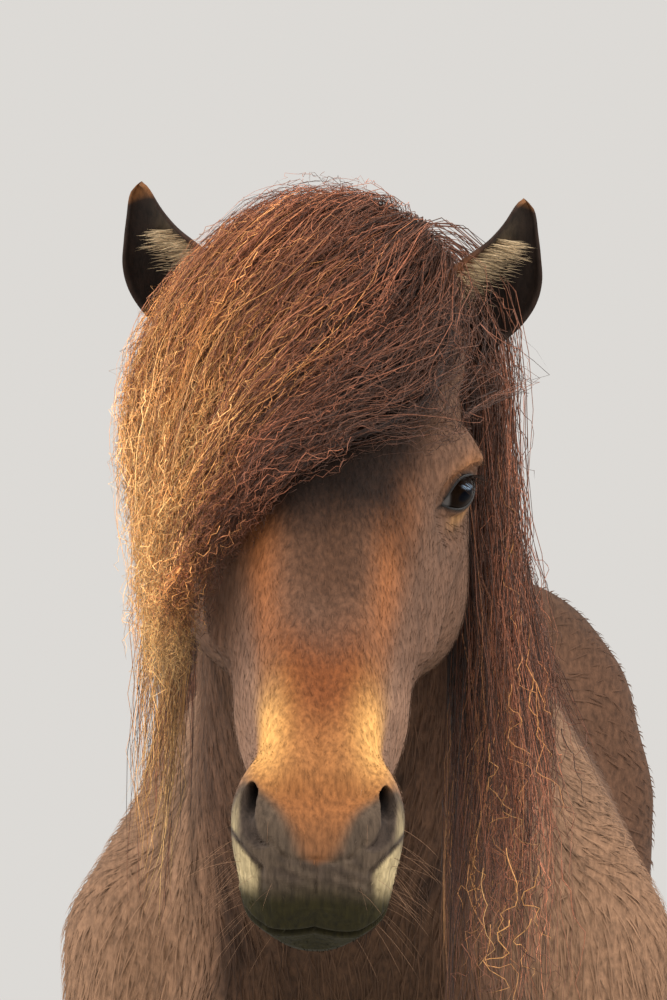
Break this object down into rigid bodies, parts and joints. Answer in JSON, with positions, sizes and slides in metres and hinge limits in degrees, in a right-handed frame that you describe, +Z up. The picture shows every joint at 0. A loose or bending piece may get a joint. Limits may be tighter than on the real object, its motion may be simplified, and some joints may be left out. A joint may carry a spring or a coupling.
{
  "type": "icelandic horse",
  "caption": "Life-size still model of a dark bay Icelandic horse standing square, with a thick mane, a swept forelock and a full tail.",
  "frame": {"origin": "on the ground, under the middle of the horse's box", "axes": "+Y from the muzzle towards the tail, +Z up, +X towards the horse's left"},
  "size_m": [0.5184, 2.2442, 1.6256],
  "materials": {
    "coat": "short dark bay winter coat, matt with a soft sheen",
    "long_hair": "long coarse hair, brown-black with sun-bleached tips",
    "hoof_horn": "dark horn, satin, finely ridged",
    "cornea": "wet dark eye, high gloss"
  },
  "bodies": {
    "root": {"head": "coat", "ear_left": "coat", "eye_left": "cornea", "ear_right": "coat", "eye_right": "cornea", "neck": "coat", "torso": "coat", "tail": "long_hair", "foreleg_left": "coat", "hindleg_left": "coat", "hoof_fore_left": "hoof_horn", "hoof_hind_left": "hoof_horn", "foreleg_right": "coat", "hindleg_right": "coat", "hoof_fore_right": "hoof_horn", "hoof_hind_right": "hoof_horn"}
  },
  "joints": []
}
